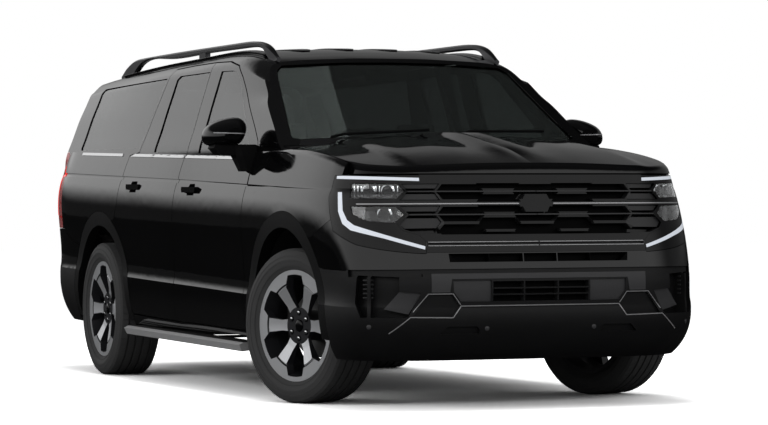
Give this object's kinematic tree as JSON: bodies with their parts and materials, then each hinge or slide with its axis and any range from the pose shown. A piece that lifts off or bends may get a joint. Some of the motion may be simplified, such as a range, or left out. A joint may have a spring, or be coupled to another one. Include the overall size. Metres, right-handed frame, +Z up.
{
  "type": "suv",
  "caption": "Full-size family suv with hinged hood, liftgate and doors, steered front wheels, roof rails and running boards.",
  "frame": {"origin": "on the ground below the middle of the vehicle's length and width", "axes": "+X towards the nose, +Y to the vehicle's left, +Z up"},
  "size_m": [5.6447, 2.387, 1.9751],
  "materials": {
    "paint": "gloss",
    "mirror_housing": "gloss",
    "dark_plastic": "gloss",
    "lamp": "clear",
    "tail_lamp": "gloss",
    "glass": "tinted",
    "moulding": "satin",
    "satin_rail": "satin",
    "board": "satin",
    "frame_steel": "matte",
    "engine_iron": "rough",
    "exhaust_steel": "dull",
    "arm_steel": "rough",
    "leather": "satin",
    "soft_plastic": "matte",
    "spare_tyre": "matte",
    "tyre": "matte",
    "rim": "machined"
  },
  "bodies": {
    "body": {"body_shell": "paint", "roof_panel": "paint", "front_fenders": "paint", "front_bumper": "paint", "rear_bumper": "paint", "grille": "dark_plastic", "headlamps": "lamp", "tail_lamps": "tail_lamp", "fixed_glass": "glass", "arch_mouldings": "moulding", "roof_rails": "satin_rail", "running_boards": "board", "chassis_frame": "frame_steel", "engine": "engine_iron", "exhaust": "exhaust_steel", "front_suspension": "arm_steel", "rear_suspension": "arm_steel", "seats": "leather", "dashboard": "soft_plastic", "steering_wheel": "leather", "wipers": "moulding", "spare_wheel": "spare_tyre"},
    "hood": {"hood": "paint"},
    "liftgate": {"liftgate": "paint", "liftgate_glass": "glass"},
    "door_front_right": {"door_front_right": "paint", "door_glass_front_right": "glass", "mirror_right": "mirror_housing"},
    "door_front_left": {"door_front_left": "paint", "door_glass_front_left": "glass", "mirror_left": "mirror_housing"},
    "door_rear_right": {"door_rear_right": "paint", "door_glass_rear_right": "glass"},
    "door_rear_left": {"door_rear_left": "paint", "door_glass_rear_left": "glass"},
    "carrier_right": {"knuckle_right": "arm_steel"},
    "carrier_left": {"knuckle_left": "arm_steel"},
    "wheel_front_right": {"tyre_front_right": "tyre", "rim_front_right": "rim"},
    "wheel_front_left": {"tyre_front_left": "tyre", "rim_front_left": "rim"},
    "wheel_rear_right": {"tyre_rear_right": "tyre", "rim_rear_right": "rim"},
    "wheel_rear_left": {"tyre_rear_left": "tyre", "rim_rear_left": "rim"}
  },
  "joints": [
    {"name": "hood_hinge", "type": "hinge", "parent": "body", "child": "hood", "pos_m": [1.5, 0, 1.405], "axis": [0, -1, 0], "range_deg": [0, 55]},
    {"name": "liftgate_hinge", "type": "hinge", "parent": "body", "child": "liftgate", "pos_m": [-2.53, 0, 1.895], "axis": [0, 1, 0], "range_deg": [0, 80]},
    {"name": "door_front_right_hinge", "type": "hinge", "parent": "body", "child": "door_front_right", "pos_m": [1.131, -1.016, 0.8], "axis": [0, 0, 1], "range_deg": [0, 66]},
    {"name": "door_rear_right_hinge", "type": "hinge", "parent": "body", "child": "door_rear_right", "pos_m": [-0.095, -1.018, 0.8], "axis": [0, 0, 1], "range_deg": [0, 66]},
    {"name": "door_front_left_hinge", "type": "hinge", "parent": "body", "child": "door_front_left", "pos_m": [1.131, 1.016, 0.8], "axis": [0, 0, -1], "range_deg": [0, 66]},
    {"name": "door_rear_left_hinge", "type": "hinge", "parent": "body", "child": "door_rear_left", "pos_m": [-0.095, 1.018, 0.8], "axis": [0, 0, -1], "range_deg": [0, 66]},
    {"name": "steer_left", "type": "hinge", "parent": "body", "child": "carrier_left", "pos_m": [1.76, 0.775, 0.4075], "axis": [0, 0, 1], "range_deg": [-53, 14]},
    {"name": "steer_right", "type": "hinge", "parent": "body", "child": "carrier_right", "pos_m": [1.76, -0.775, 0.4075], "axis": [0, 0, 1], "range_deg": [-53, 14]},
    {"name": "spin_front_right", "type": "hinge", "parent": "carrier_right", "child": "wheel_front_right", "pos_m": [1.7896, -0.85999, 0.4075], "axis": [-0.3289, 0.9444, 0], "continuous": true},
    {"name": "spin_rear_right", "type": "hinge", "parent": "body", "child": "wheel_rear_right", "pos_m": [-1.553, -0.865, 0.4075], "axis": [0, 1, 0], "continuous": true},
    {"name": "spin_front_left", "type": "hinge", "parent": "carrier_left", "child": "wheel_front_left", "pos_m": [1.7304, 0.85999, 0.4075], "axis": [-0.3289, 0.9444, 0], "continuous": true},
    {"name": "spin_rear_left", "type": "hinge", "parent": "body", "child": "wheel_rear_left", "pos_m": [-1.553, 0.865, 0.4075], "axis": [0, 1, 0], "continuous": true}
  ],
  "couplings": [
    {"joint": "steer_right", "follows": "steer_left", "ratio": 1}
  ]
}
